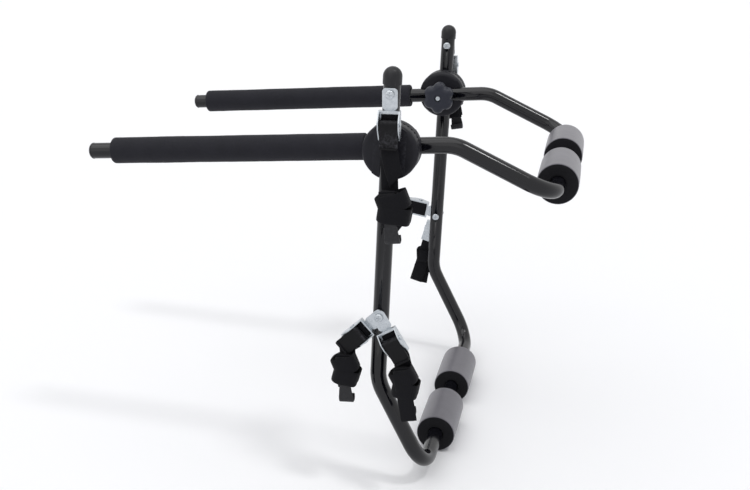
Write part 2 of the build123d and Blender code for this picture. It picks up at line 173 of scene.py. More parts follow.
# %% Group: worn edges
tree, given, result = new_group(
    "worn edges",
    [("Vector", VECTOR, None), ("Start", FLOAT, 0.53), ("End", FLOAT, 0.6), ("Amount", FLOAT, 1.0)],
    [("Mask", FLOAT)],
)
point = add_node(tree, "ShaderNodeNewGeometry").outputs["Pointiness"]
convex = remap(tree, point, given.outputs["Start"], given.outputs["End"])
broken = add_node(tree, "ShaderNodeTexNoise", {
    "Vector": given.outputs["Vector"], "Scale": 260.0, "Detail": 5.0, "Roughness": 0.7,
}).outputs["Fac"]
mask = masked(tree, convex, remap(tree, broken, 0.42, 0.62), given.outputs["Amount"])
tree.links.new(mask, result.inputs["Mask"])
worn_edges = tree
print("group", tree.name)

# %% [markdown]
# ## Settled dust
# Black parts always show a little pale dust on what faces up. The object's own normal is used, so
# the dust stays on the same side of a part when a joint turns it.

# %% Group: settled dust
tree, given, result = new_group(
    "settled dust",
    [("Vector", VECTOR, None), ("Amount", FLOAT, 0.1)],
    [("Mask", FLOAT)],
)
facing = add_node(tree, "ShaderNodeTexCoord").outputs["Normal"]
upward = add_node(tree, "ShaderNodeSeparateXYZ", {"Vector": facing}).outputs["Z"]
specks = add_node(tree, "ShaderNodeTexNoise", {
    "Vector": given.outputs["Vector"], "Scale": 900.0, "Detail": 4.0, "Roughness": 0.8,
}).outputs["Fac"]
top = remap(tree, upward, 0.1, 1.0)
mask = masked(tree, top, remap(tree, specks, 0.45, 0.75), given.outputs["Amount"])
tree.links.new(mask, result.inputs["Mask"])
settled_dust = tree
print("group", tree.name)

# %% [markdown]
# ## Foam cells
# Closed-cell foam is full of small pits with thin walls. A Voronoi texture has just that shape:
# its distance is low inside a cell and high at the walls. A noise shifts the cells, so that they
# don't line up.

# %% Group: foam cells
tree, given, result = new_group(
    "foam cells",
    [("Vector", VECTOR, None), ("Cell mm", FLOAT, 1.2), ("Blotch mm", FLOAT, 30.0)],
    [("Height", FLOAT), ("Blotch", FLOAT), ("Pit shade", FLOAT)],
)
spot = given.outputs["Vector"]
warp = add_node(tree, "ShaderNodeTexNoise", {"Vector": spot, "Scale": 350.0, "Detail": 2.0})
shift = add_node(tree, "ShaderNodeVectorMath", {0: warp.outputs["Color"], 3: 0.0012}, operation="SCALE")
moved = add_node(tree, "ShaderNodeVectorMath", {0: spot, 1: shift.outputs[0]}, operation="ADD")
cells = add_node(tree, "ShaderNodeTexVoronoi", {
    "Vector": moved.outputs[0], "Scale": cells_per_metre(tree, given.outputs["Cell mm"]),
}, feature="F1")
broad = add_node(tree, "ShaderNodeTexNoise", {
    "Vector": spot, "Scale": cells_per_metre(tree, given.outputs["Blotch mm"]), "Detail": 5.0,
})
# The pit mask is highest in the middle of each cell, where the foam finishes paint shade.
pits = remap(tree, cells.outputs["Distance"], 0.45, 0.1)
tree.links.new(cells.outputs["Distance"], result.inputs["Height"])
tree.links.new(broad.outputs["Fac"], result.inputs["Blotch"])
tree.links.new(pits, result.inputs["Pit shade"])
foam_cells = tree
print("group", tree.name)

# %% [markdown]
# ## Woven band
# Webbing is a dense weave: warp cords run along it, and each weft pick crosses them, every
# millimetre and a half or so. Two waves in the strap's own flat map make the cords and the picks,
# and swapping the picks on every second cord gives the twill look.

# %% Group: woven band
tree, given, result = new_group(
    "woven band",
    [("Map", VECTOR, None), ("Cords", FLOAT, 18.0), ("Picks", FLOAT, 16.0)],
    [("Height", FLOAT), ("Groove shade and fuzz", FLOAT)],
)
parts = add_node(tree, "ShaderNodeSeparateXYZ", {"Vector": given.outputs["Map"]})
across = math_node(tree, "MULTIPLY", parts.outputs["X"], given.outputs["Cords"])
along = math_node(tree, "MULTIPLY", parts.outputs["Y"], given.outputs["Picks"])
step_over = math_node(tree, "MULTIPLY", math_node(tree, "FLOOR", across), 0.5)
stepped = math_node(tree, "ADD", along, step_over)
cord = math_node(tree, "SINE", math_node(tree, "MULTIPLY", across, TURN))
pick = math_node(tree, "MULTIPLY", math_node(tree, "SINE", math_node(tree, "MULTIPLY", stepped, TURN)), 1.4)
both = math_node(tree, "MULTIPLY", math_node(tree, "ADD", cord, pick), 0.21)
height = math_node(tree, "ADD", both, 0.5)
fuzz = add_node(tree, "ShaderNodeTexNoise", {"Vector": given.outputs["Map"], "Scale": 34.0, "Detail": 5.0})
# Painted shade: the colour mask follows the weave's height, darker in the grooves and lighter on the raised
# cords, and a fuzz noise adds random tone.
groove_shade_and_fuzz = math_node(tree, "MULTIPLY", height, fuzz.outputs["Fac"])
tree.links.new(height, result.inputs["Height"])
tree.links.new(groove_shade_and_fuzz, result.inputs["Groove shade and fuzz"])
woven_band = tree
print("group", tree.name)

# %% [markdown]
# ## From groups to finishes
# Every finish is one Principled shader. What is the same all over is written on its sockets, and
# what changes over the surface comes from a group: colour, roughness and a bump.

# %% Material helper
def finish_of(name, color, roughness, metallic=0.0, **sockets):
    """A material with one Principled shader, and its tree, shader and object-space coordinates."""
    material = bpy.data.materials.new(name)
    material.use_nodes = True
    tree = material.node_tree
    shader = tree.nodes["Principled BSDF"]
    shader.inputs["Base Color"].default_value = (*color, 1)
    shader.inputs["Roughness"].default_value = roughness
    shader.inputs["Metallic"].default_value = metallic
    for label, value in sockets.items():
        shader.inputs[label.replace("_", " ")].default_value = value
    place = add_node(tree, "ShaderNodeTexCoord")
    return material, tree, shader, place


def use_group(tree, group, links):
    """Places a shared group in a material."""
    return add_node(tree, "ShaderNodeGroup", links, group.name, node_tree=group)


def blend_color(tree, amount, low, high):
    """A colour between two, by a mask."""
    node = add_node(tree, "ShaderNodeMix", data_type="RGBA")
    tree.links.new(amount, node.inputs[0])
    for socket, value in ((node.inputs[6], low), (node.inputs[7], high)):
        if isinstance(value, bpy.types.NodeSocket):
            tree.links.new(value, socket)
        else:
            socket.default_value = (*value, 1)
    return node.outputs[2]


def vary_roughness(tree, shader, blotch, low, high):
    """A roughness that wanders between two values. A blotch noise seldom leaves 0.3 to 0.7."""
    tree.links.new(remap(tree, blotch, 0.3, 0.7, low, high), shader.inputs["Roughness"])


def raise_bump(tree, shader, height, depth_mm):
    """A bump of a real depth on the shader's normal."""
    bump = add_node(tree, "ShaderNodeBump", {"Height": height, "Distance": depth_mm * MM, "Strength": 1.0})
    tree.links.new(bump.outputs["Normal"], shader.inputs["Normal"])


print("material helpers ready")

# %% [markdown]
# ## Black paint
# The tubes are powder coated. The coat flows out almost flat but keeps a faint orange peel, so a
# long reflection wavers a little. A clear coat layer would look wet, so the gloss is in the base.

# %% Paint
PAINT_BLACK = (0.003, 0.003, 0.005)
frame_paint, tree, shader, place = finish_of("frame paint", PAINT_BLACK, 0.13, Specular_IOR_Level=0.38)
peel = use_group(tree, fine_grain, {"Vector": place.outputs["Object"], "Grain mm": 2.6, "Blotch mm": 45.0})
dust = use_group(tree, settled_dust, {"Vector": place.outputs["Object"], "Amount": 0.05})
color = blend_color(tree, dust.outputs["Mask"], PAINT_BLACK, (0.20, 0.20, 0.21))
tree.links.new(color, shader.inputs["Base Color"])
vary_roughness(tree, shader, peel.outputs["Blotch"], 0.10, 0.17)
raise_bump(tree, shader, peel.outputs["Height"], 0.012)
print(frame_paint.name)

# %% [markdown]
# ## Vinyl
# The tube caps and the strap hooks are dipped in soft vinyl. It is duller than the paint and has
# a slightly lumpy skin, with scuffs on its corners.

# %% Vinyl
VINYL_BLACK = (0.010, 0.010, 0.012)


def vinyl(name, roughness, scuff):
    """Black dipped vinyl with scuffed corners."""
    material, tree, shader, place = finish_of(name, VINYL_BLACK, roughness, Specular_IOR_Level=0.3)
    spot = place.outputs["Object"]
    skin = use_group(tree, fine_grain, {"Vector": spot, "Grain mm": 1.1, "Blotch mm": 9.0})
    wear = use_group(tree, worn_edges, {"Vector": spot, "Amount": scuff})
    color = blend_color(tree, wear.outputs["Mask"], VINYL_BLACK, (0.08, 0.08, 0.09))
    tree.links.new(color, shader.inputs["Base Color"])
    vary_roughness(tree, shader, skin.outputs["Blotch"], roughness - 0.08, roughness + 0.1)
    raise_bump(tree, shader, skin.outputs["Height"], 0.05)
    return material


cap_vinyl = vinyl("cap vinyl", roughness=0.4, scuff=0.5)
hook_vinyl = vinyl("hook vinyl", roughness=0.5, scuff=0.9)
print(cap_vinyl.name, hook_vinyl.name)

# %% [markdown]
# ## Moulded nylon
# Hubs and knobs are glass-filled nylon: dark, a little blue, satin, with a fine spark-eroded
# texture and pale rubbed edges on the knob's lobes.

# %% Nylon
def nylon(name, color, roughness, wear_amount):
    """Satin moulded plastic with rubbed edges."""
    material, tree, shader, place = finish_of(name, color, roughness, Specular_IOR_Level=0.2)
    spot = place.outputs["Object"]
    skin = use_group(tree, fine_grain, {"Vector": spot, "Grain mm": 0.45, "Blotch mm": 14.0})
    wear = use_group(tree, worn_edges, {"Vector": spot, "Amount": wear_amount})
    dust = use_group(tree, settled_dust, {"Vector": spot, "Amount": 0.12})
    marked = blend_color(tree, wear.outputs["Mask"], color, tuple(c * 3 + 0.03 for c in color))
    dusty = blend_color(tree, dust.outputs["Mask"], marked, (0.3, 0.3, 0.3))
    tree.links.new(dusty, shader.inputs["Base Color"])
    vary_roughness(tree, shader, skin.outputs["Blotch"], roughness - 0.07, roughness + 0.09)
    raise_bump(tree, shader, skin.outputs["Height"], 0.035)
    return material


hub_nylon = nylon("hub nylon", (0.009, 0.009, 0.013), roughness=0.5, wear_amount=0.5)
knob_nylon = nylon("knob nylon", (0.024, 0.026, 0.037), roughness=0.36, wear_amount=0.7)
print(hub_nylon.name, knob_nylon.name)

# %% [markdown]
# ## Bright zinc
# The buckles, bolts and nuts are zinc plated. The plating is bright but not a mirror: it has a
# cloudy bloom, fine handling marks, and a slight blue cast.

# %% Zinc and coated levers
zinc_plate, tree, shader, place = finish_of("zinc plate", (0.48, 0.51, 0.54), 0.26, metallic=1.0)
bloom = use_group(tree, fine_grain, {"Vector": place.outputs["Object"], "Grain mm": 0.7, "Blotch mm": 5.0})
color = blend_color(tree, bloom.outputs["Blotch"], (0.34, 0.37, 0.40), (0.62, 0.65, 0.68))
tree.links.new(color, shader.inputs["Base Color"])
vary_roughness(tree, shader, bloom.outputs["Blotch"], 0.18, 0.42)
raise_bump(tree, shader, bloom.outputs["Height"], 0.02)

LEVER_BLACK = (0.004, 0.004, 0.005)
lever_coat, tree, shader, place = finish_of("lever coat", LEVER_BLACK, 0.5, Specular_IOR_Level=0.15)
skin = use_group(tree, fine_grain, {"Vector": place.outputs["Object"], "Grain mm": 0.8, "Blotch mm": 8.0})
wear = use_group(tree, worn_edges, {"Vector": place.outputs["Object"], "Amount": 0.8})
color = blend_color(tree, wear.outputs["Mask"], LEVER_BLACK, (0.06, 0.06, 0.07))
tree.links.new(color, shader.inputs["Base Color"])
vary_roughness(tree, shader, skin.outputs["Blotch"], 0.34, 0.52)
raise_bump(tree, shader, skin.outputs["Height"], 0.03)
print(zinc_plate.name, lever_coat.name)

# %% [markdown]
# ## Foam
# The arm sleeves are charcoal foam with open pores. The roller pads have a smooth grey skin round
# the side, and their cut ends are nearly black, because the open cells there hold the light.

# %% Foam finishes
def foam(name, color, pit_shade_color, cell_mm, depth_mm, roughness, sheen, specular=0.15):
    """Foam with its cells as a bump, and painted shade that darkens its pits."""
    material, tree, shader, place = finish_of(
        name, color, roughness, Sheen_Weight=sheen, Sheen_Roughness=0.6, Specular_IOR_Level=specular
    )
    spot = place.outputs["Object"]
    cells = use_group(tree, foam_cells, {"Vector": spot, "Cell mm": cell_mm, "Blotch mm": 26.0})
    dust = use_group(tree, settled_dust, {"Vector": spot, "Amount": 0.06})
    darker, paler = (tuple(c * share for c in color) for share in (0.8, 1.2))
    uneven = blend_color(tree, cells.outputs["Blotch"], darker, paler)
    # Painted shade: each pit is darkened towards the foam's pit shade colour.
    pit_shaded = blend_color(tree, cells.outputs["Pit shade"], uneven, pit_shade_color)
    dusty = blend_color(tree, dust.outputs["Mask"], pit_shaded, (0.4, 0.4, 0.4))
    tree.links.new(dusty, shader.inputs["Base Color"])
    raise_bump(tree, shader, cells.outputs["Height"], depth_mm)
    return material


# Each foam's second colour is the painted shade at the bottom of its pits.
sleeve_foam = foam("sleeve foam", (0.016, 0.016, 0.021), (0.007, 0.007, 0.010),
                   cell_mm=0.9, depth_mm=0.16, roughness=0.9, sheen=0.05)
pad_skin = foam("pad skin", (0.110, 0.105, 0.125), (0.080, 0.077, 0.092),
                cell_mm=0.8, depth_mm=0.04, roughness=0.38, sheen=0.1, specular=0.5)
pad_cut = foam("pad cut", (0.010, 0.010, 0.012), (0.004, 0.004, 0.005),
               cell_mm=1.3, depth_mm=0.35, roughness=0.95, sheen=0.03)
print(sleeve_foam.name, pad_skin.name, pad_cut.name)

# %% [markdown]
# ## Webbing
# Polyester webbing is black and dull, with a faint sheen on its cords and painted shade in the
# grooves of its weave. The weave follows the strap through every fold, so its coordinates come
# from the strap's own UV map.

# %% Webbing finish
webbing_black, tree, shader, place = finish_of(
    "webbing", (0.006, 0.006, 0.008), 0.78, Sheen_Weight=0.05, Sheen_Roughness=0.5, Specular_IOR_Level=0.1
)
weave = use_group(tree, woven_band, {"Map": place.outputs["UV"], "Cords": 14.0, "Picks": 15.0})
# The weave's colour mask paints shade into its grooves, with a random fuzz.
color = blend_color(tree, weave.outputs["Groove shade and fuzz"], (0.003, 0.003, 0.004), (0.016, 0.016, 0.020))
tree.links.new(color, shader.inputs["Base Color"])
raise_bump(tree, shader, weave.outputs["Height"], 0.22)
print(webbing_black.name)

# %% [markdown]
# ## Carried-over hard parts
# The CAD nodes keep their meshes. Their edges come knife sharp, and no pressed or moulded part
# has such an edge, so a bevel modifier rounds them. A weld joins the faces first, because a CAD
# mesh has its own corners for every face.

# %% Dress the CAD nodes
WELD_DISTANCE = 0.000005
SHARP_ANGLE = math.radians(32)


def dress(node, material, bevel_mm):
    """Gives a CAD node its finish and soft edges."""
    piece = nodes[node]
    piece.data.materials.clear()
    piece.data.materials.append(material)
    weld = piece.modifiers.new("weld", "WELD")
    weld.merge_threshold = WELD_DISTANCE
    if bevel_mm > 0:
        bevel = piece.modifiers.new("soft edges", "BEVEL")
        bevel.width = bevel_mm * MM
        bevel.segments = 2
        bevel.limit_method = "ANGLE"
        bevel.angle_limit = SHARP_ANGLE
        bevel.harden_normals = True


# The finish of each material slot, and its bevel in millimetres. The tubes have no edge to round.
finishes = {
    "frame_paint": (frame_paint, 0.0),
    "cap_vinyl": (cap_vinyl, 0.6),
    "hub_plastic": (hub_nylon, 0.5),
    "knob_plastic": (knob_nylon, 0.5),
    "zinc_plate": (zinc_plate, 0.3),
    "lever_coat": (lever_coat, 0.5),
    "hook_vinyl": (hook_vinyl, 0.7),
}
dressed = 0
for part in frame["record"]["subparts"]:
    if part["material_slot"] in finishes:
        dress(part["node"], *finishes[part["material_slot"]])
        dressed += 1
print("dressed CAD nodes:", dressed)

# %% [markdown]
# ## Meshes of our own
# Every new piece is made from points and faces, gets its finish and its place in the model's
# tree, and rides on the body that carries it.

# %% Piece helper
def add_piece(name, points, faces, materials, body, uvs=None, face_material=None):
    """A smooth mesh piece that rides on a body."""
    mesh = bpy.data.meshes.new(name)
    mesh.from_pydata([tuple(p) for p in points], [], faces)
    for material in materials:
        mesh.materials.append(material)
    if uvs:
        layer = mesh.uv_layers.new(name="UVMap")
        for loop in mesh.loops:
            layer.data[loop.index].uv = uvs[loop.vertex_index]
    if face_material:
        mesh.polygons.foreach_set("material_index", face_material)
    mesh.polygons.foreach_set("use_smooth", [True] * len(mesh.polygons))
    mesh.validate()
    mesh.update()
    piece = bpy.data.objects.new(name, mesh)
    bpy.context.scene.collection.objects.link(piece)
    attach(piece, body)
    return piece


print("piece helper ready")

# %% [markdown]
# ## Turned foam
# Sleeves and pads are round, so they are turned: a profile is swung round an axis. Real foam is
# never quite true, so each ring is pushed in or out by a slow noise, and the cut ends are
# rougher than the sides.

# %% Turned shapes
SWAYS_PER_METRE = 16


def turned(profile, start, axis, steps, sway_mm, seed):
    """Swings (distance, radius) points in millimetres round an axis. The first and last meet, so the
    foam is closed."""
    side = axis.cross(Vector((0, 0, 1)) if abs(axis.z) < 0.9 else Vector((1, 0, 0))).normalized()
    other = axis.cross(side)
    points = []
    for distance, radius in profile:
        for step in range(steps):
            angle = TURN * step / steps
            out = side * math.cos(angle) + other * math.sin(angle)
            spot = start + axis * distance * MM
            place = (spot + out * radius * MM) * SWAYS_PER_METRE + Vector((seed, 0, 0))
            push = sway_mm * noise.noise(place) + sway_mm * 0.5 * noise.noise(place * 4)
            points.append(spot + out * (radius + push) * MM)
    count = len(profile)
    faces = []
    for i in range(count):
        for step in range(steps):
            j, k = (i + 1) % count, (step + 1) % steps
            faces.append((i * steps + step, i * steps + k, j * steps + k, j * steps + step))
    return points, faces


BORE_EDGE = 0.8
END_STEPS = 6
END_POINTS = 2 + 2 * END_STEPS


def foam_profile(length, outer, inner, corner, lengthwise, crown=0.0):
    """The outline of a foam tube, from the bore's start over the outside and back."""
    profile = [(0.6, inner), (0.0, inner + BORE_EDGE)]
    rise = outer - corner - inner - BORE_EDGE
    for i in range(1, END_STEPS + 1):
        profile.append((0.25 * math.sin(i), inner + BORE_EDGE + rise * i / END_STEPS))
    for i in range(1, END_STEPS + 1):
        angle = math.pi / 2 * i / END_STEPS
        profile.append((corner * (1 - math.cos(angle)), outer - corner + corner * math.sin(angle)))
    for i in range(1, lengthwise):
        along = i / lengthwise
        profile.append((corner + (length - 2 * corner) * along, outer + crown * math.sin(math.pi * along)))
    return profile + [(length - d, r) for d, r in reversed(profile[:END_POINTS])]


print("turning ready")

# %% [markdown]
# ## Arm sleeves
# Each bike arm wears a long foam sleeve, so that a bicycle's tube isn't scratched. It was slid on
# wet and never sits perfectly smooth. A cylinder would look like plastic, so the sleeve is turned
# with a slow sway of a third of a millimetre and rounded, slightly open ends.

# %% Make the sleeves
HUB_PLACE = Vector((-0.081, 0, 0.509))
ARM_TILT = math.radians(6.3)
ARM_AXIS = Vector((-math.cos(ARM_TILT), 0, -math.sin(ARM_TILT)))
ARM_Y = 0.218
sleeve_profile = foam_profile(length=409.5, outer=20.4, inner=12.7, corner=2.6, lengthwise=110)
for word, side, gap in (("left", 1, 0.0575), ("right", -1, 0.0435)):
    start = HUB_PLACE + ARM_AXIS * gap + Vector((0, side * ARM_Y, 0))
    points, faces = turned(sleeve_profile, start, ARM_AXIS, steps=72, sway_mm=0.35, seed=3.0 * side)
    sleeve = add_piece(f"foam_sleeve_{word}", points, faces, [sleeve_foam], "arm_frame")
    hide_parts(f"arm_sleeve_{word}")
    print(sleeve.name, len(points), "points")

# %% [markdown]
# ## Roller pads
# Four thick foam rollers rest against the car. Their side is a smooth skin that bulges by a hair,
# and their ends are cut. One mesh with two materials keeps the skin's corner tight against the cut.

# %% Make the pads
PAD_STEPS = 96
PAD_FROM_MIDDLE = 0.035
pad_profile = foam_profile(length=112, outer=32.2, inner=12.9, corner=2.2, lengthwise=34, crown=0.3)
skin_start, skin_end = 9, len(pad_profile) - 11
for level, bar_x, bar_z in (("lower", 0.0, 0.0), ("upper", 0.159, 0.456)):
    for word, side in (("left", 1), ("right", -1)):
        start = Vector((bar_x, side * PAD_FROM_MIDDLE, bar_z))
        outward = Vector((0, side, 0))
        points, faces = turned(pad_profile, start, outward, PAD_STEPS, sway_mm=0.25, seed=9.0 + side + bar_x)
        cut = [0 if skin_start <= i // PAD_STEPS <= skin_end else 1 for i in range(len(faces))]
        body = f"{level}_pad_{word}"
        pad = add_piece(f"foam_pad_{level}_{word}", points, faces, [pad_skin, pad_cut], body,
                        face_material=cut)
        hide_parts(f"{level}_pad_{word}")
print("pads made")

# %% [markdown]
# ## A strap as a swept band
# Webbing could be a plane with a solidify modifier, but it has to bend over a buckle, fold and
# wrap. So a thin rounded cross-section is carried along a line of points, with a direction for
# its width at each point. The UV map is laid out at the same time, in strap widths.

# %% Swept band
WEB = 25.0
THICK = 1.5
# The band's cross-section, in shares of its width and thickness.
SECTION = [(-0.5, 0.0), (-0.47, 0.36), (-0.3, 0.5), (0.0, 0.5), (0.3, 0.5), (0.47, 0.36),
           (0.5, 0.0), (0.47, -0.36), (0.3, -0.5), (0.0, -0.5), (-0.3, -0.5), (-0.47, -0.36)]


def swept(line, across, cut=0.0):
    """Points, faces and UV places of a band along a line, all in millimetres. The cut slants its far
    end."""
    points, faces, uvs = [], [], []
    length = 0.0
    count = len(SECTION)
    for i, spot in enumerate(line):
        ahead = (line[min(i + 1, len(line) - 1)] - line[max(i - 1, 0)]).normalized()
        side = (across[i] - ahead * across[i].dot(ahead)).normalized()
        out = ahead.cross(side)
        if i:
            length += (spot - line[i - 1]).length
        for a, b in SECTION:
            points.append(spot + side * a * WEB + out * b * THICK - ahead * a * WEB * cut * i / len(line))
            uvs.append((a + 0.5 if b >= 0 else 1.5 - a, length / WEB))
    for i in range(len(line) - 1):
        for j in range(count):
            k = (j + 1) % count
            faces.append((i * count + j, i * count + k, (i + 1) * count + k, (i + 1) * count + j))
    faces.append(tuple(reversed(range(count))))
    faces.append(tuple((len(line) - 1) * count + j for j in range(count)))
    return points, faces, uvs


def flowing(places, steps):
    """A smooth line through a few points, with some steps between each two."""
    knots = [Vector(place) for place in places]
    line = []
    for i in range(len(knots) - 1):
        a, b, c, d = knots[max(i - 1, 0)], knots[i], knots[i + 1], knots[min(i + 2, len(knots) - 1)]
        for step in range(steps):
            t = step / steps
            line.append(0.5 * (2 * b + (c - a) * t + (2 * a - 5 * b + 4 * c - d) * t * t
                               + (3 * b - a - 3 * c + d) * t * t * t))
    return line + [knots[-1].copy()]


def joined(bands):
    """Several bands as one mesh."""
    points, faces, uvs = [], [], []
    for band_points, band_faces, band_uvs in bands:
        base = len(points)
        points += band_points
        faces += [tuple(base + i for i in face) for face in band_faces]
        uvs += band_uvs
    return points, faces, uvs


print("band helpers ready")

# %% [markdown]
# ## How a strap hangs
# Each strap leaves its cam buckle, runs down as a lead, and is folded to and fro into a hank that
# hangs with its hook at the bottom. One or two turns round the hank keep it together. The sizes are
# the CAD model's own, in the buckle's frame: X across, Y away from the tube, Z up, the bolt at zero.

# %% The hank's folds
LAYERS = 9
PITCH = 2.6
HEAD = 16.0
FOLD = 46.0
LAYER_STEPS = 6
LOW_LAYERS = 4


def hank_line(first_y, fan, drop):
    """The folds of a hank as a line and its width directions. The layers spread sideways by the fan,
    and the first four folds hang lower by the drop."""
    line, across = [], []
    shift = [fan * random.uniform(-1, 1) * (0.3 if i % 2 == 0 else 1.0) for i in range(LAYERS + 1)]
    for layer in range(LAYERS):
        y = first_y + layer * PITCH
        inset = 2.0 * math.sin(2.1 * layer)
        high, low = -HEAD - inset, -HEAD - FOLD + inset - (drop if layer < LOW_LAYERS else 0)
        start, end = (high, low) if layer % 2 == 0 else (low, high)
        toward = 1 if end > start else -1
        x0, x1 = shift[layer], shift[layer + 1]
        lean = math.atan2(x1 - x0, abs(end - start))
        flat = Vector((math.cos(lean), 0, -toward * math.sin(lean)))
        for step in range(LAYER_STEPS + 1):
            t = step / LAYER_STEPS
            belly = 0.5 * math.sin(math.pi * t)
            line.append(Vector((x0 + (x1 - x0) * t, y + belly, start + (end - start) * t)))
            across.append(flat)
        if layer < LAYERS - 1:
            for step in range(1, LAYER_STEPS):
                angle = math.pi * step / LAYER_STEPS
                reach = toward * math.sin(angle) * PITCH * 0.5
                line.append(Vector((x1, y + PITCH / 2 * (1 - math.cos(angle)), end + reach)))
                across.append(flat)
    return line, across


STEPS_A_TURN = 40
SQUARENESS = 0.62


def squarish(value):
    """A sine or cosine pushed outwards, so that a circle becomes a rounded square."""
    return math.copysign(abs(value) ** SQUARENESS, value)


def wrap_line(middle_x, middle_z, slant, wide, deep, first_y, turns, begin):
    """A band's line round the hank, as a squarish loop that climbs by its slant and ends on top of
    itself."""
    line, across = [], []
    steps = int(STEPS_A_TURN * turns)
    centre_y = first_y + (LAYERS - 1) * PITCH / 2
    for step in range(steps + 1):
        angle = begin + TURN * turns * step / steps
        c, s = math.cos(angle), math.sin(angle)
        grow = THICK * 1.1 * turns * step / steps
        x = squarish(c) * (wide / 2 + grow)
        y = squarish(s) * (deep / 2 + grow)
        line.append(Vector((middle_x + x, centre_y + y, middle_z + slant * c)))
        across.append(Vector((-slant / wide * 2, 0.0, 1.0)))
    return line, across


print("hank helpers ready")

# %% [markdown]
# ## Six straps
# Every strap hangs in its own way: one swings left, one right, one is fanned out wide. A short
# table holds how each hangs, and one function makes them all. What follows from a strap's place,
# its bolt's height, its side and its layer on a shared bolt, is read from its name.

# %% Strap table
UPRIGHT_X = -81.0
UPRIGHT_FACE = 275.5
SHEET_GAP = 0.3
SHEET = 1.6
TOP_BOLT, LOWER_BOLT = 596, 258
UNDER_CAM, OVER_BOLT = 2.75, 8.0
# Degrees for the buckle's swing and the hank's hang, millimetres for the lead and the wraps' width,
# the fan of the folds and the skew of the second layer.
straps = {
    "top_right": dict(swing=-3, hang=-9, lead=122, fan=7, wide=42, skew=11, wraps="two", cut=0.6, aside=5),
    "top_left": dict(swing=-4, hang=-12, lead=80, fan=2, wide=29, skew=4, wraps="one"),
    "lower_right_inner": dict(swing=45, hang=-6, lead=70, fan=5, wide=33, skew=-3, wraps="two"),
    "lower_right_outer": dict(swing=-34, hang=-12, lead=70, fan=5, wide=33, skew=3, wraps="two", tail=32),
    "lower_left_inner": dict(swing=14, hang=10, lead=70, fan=13, wide=29, skew=2, wraps="high", drop=22),
    "lower_left_outer": dict(swing=98, hang=12, lead=84, fan=3, wide=31, skew=-3, wraps="two", tucked=True),
}
for name, strap in straps.items():
    top = name.startswith("top")
    strap["z"] = TOP_BOLT if top else LOWER_BOLT
    strap["lift"] = OVER_BOLT if top else UNDER_CAM
    strap["side"] = 1 if "left" in name else -1
    strap["level"] = 1 if name.endswith("outer") else 0
# Turns round a hank: height from its middle, slant, turns, angle of the start, extra width.
WRAPS = {
    "two": [(11, 5.5, 1.4, 2.2, 0.0), (-8, -6.0, 1.3, 4.0, 2.0)],
    "one": [(6, 4.0, 1.3, 2.2, 0.0)],
    "high": [(12, 4.0, 1.3, 2.2, 0.0)],
}
WRAP_DEPTH = 27.0


def buckle_place(strap):
    """The matrix from a buckle's own frame in millimetres to the model in metres."""
    y = UPRIGHT_FACE + SHEET_GAP + strap["level"] * (SHEET + SHEET_GAP)
    swing = Matrix.Rotation(math.radians(strap["swing"]), 4, "Y")
    place = Matrix.Translation((UPRIGHT_X, y, strap["z"])) @ swing
    mirror = Matrix.Diagonal((1, strap["side"], 1, 1))
    return Matrix.Scale(MM, 4) @ mirror @ place


def hank_place(strap):
    """The matrix from the hank's frame to the buckle's."""
    turn = Matrix.Rotation(math.radians(strap["hang"] - strap["swing"]), 4, "Y")
    return Matrix.Translation((0, 0, -strap["lead"])) @ turn


print("straps:", len(straps))

# %% [markdown]
# ## Making the webbing
# The lead starts as a short end above the cam, dips under it and runs down. A second layer lies on
# it, slightly skewed, as the free half of the strap does. Then come the folds and the turns that
# hold them. One strap has a loose end, and one has a layer tucked behind its buckle.

# %% Make the webbing
X_AXIS = Vector((1, 0, 0))
SHORT_END, PIN_END, PLATE_END, LIFT_END = -28, -42, -62, -78
LONG_LEAD = 100
JOIN_STEPS = 6


def lead_line(strap, to_hank, first):
    """The strap from its short end to the first fold, with its width directions."""
    lift, lead = strap["lift"], strap["lead"]
    knots = [(0, UNDER_CAM, SHORT_END), (0, UNDER_CAM, PIN_END), (0, UNDER_CAM, PLATE_END)]
    knots.append((0, lift, LIFT_END if lift > UNDER_CAM else -lead + 2))
    if lead > LONG_LEAD:
        knots.append((0, lift, -LONG_LEAD - 2))
    line = flowing(knots, 6)
    across = [X_AXIS.copy() for _ in line]
    turned_side = to_hank.to_3x3() @ X_AXIS
    for step in range(1, JOIN_STEPS):
        line.append(line[-1].lerp(to_hank @ first, 1 / (JOIN_STEPS + 1 - step)))
        across.append(X_AXIS.lerp(turned_side, step / JOIN_STEPS))
    return line, across


def second_layer(strap):
    """The free half of the strap, which lies on the lead and leans off it."""
    skew, lift = strap["skew"], strap["lift"]
    top = PLATE_END + 1
    below = max(strap["lead"] + PLATE_END, 8)
    knots = [(0, 5.0, top), (skew * 0.1, lift + 2.0, top - below * 0.35),
             (skew * 0.45, lift + 2.6, top - below * 0.7), (skew, lift + 3.2, top - below)]
    line = flowing(knots, 6)
    return swept(line, [X_AXIS for _ in line], strap.get("cut", 0.0))


def tucked_layer():
    """A layer that lies behind the buckle's plate and comes forward below it."""
    line = flowing([(0, -1.0, -25), (0, -1.0, PIN_END), (0, -1.0, -60), (0, 0.6, -76)], 5)
    return swept(line, [X_AXIS for _ in line])


def loose_end(length, end_y, to_hank):
    """The strap's end, which hangs in front of the hank and below it."""
    low = -HEAD - FOLD
    front = end_y + 4.8
    knots = [(0, end_y + 1.7, -HEAD - 4), (0, front, -HEAD - 16), (0.5, front, low)]
    line = flowing(knots + [(1.5, front + 4.0, low - length)], 7)
    return swept([to_hank @ p for p in line], [to_hank.to_3x3() @ X_AXIS for _ in line])


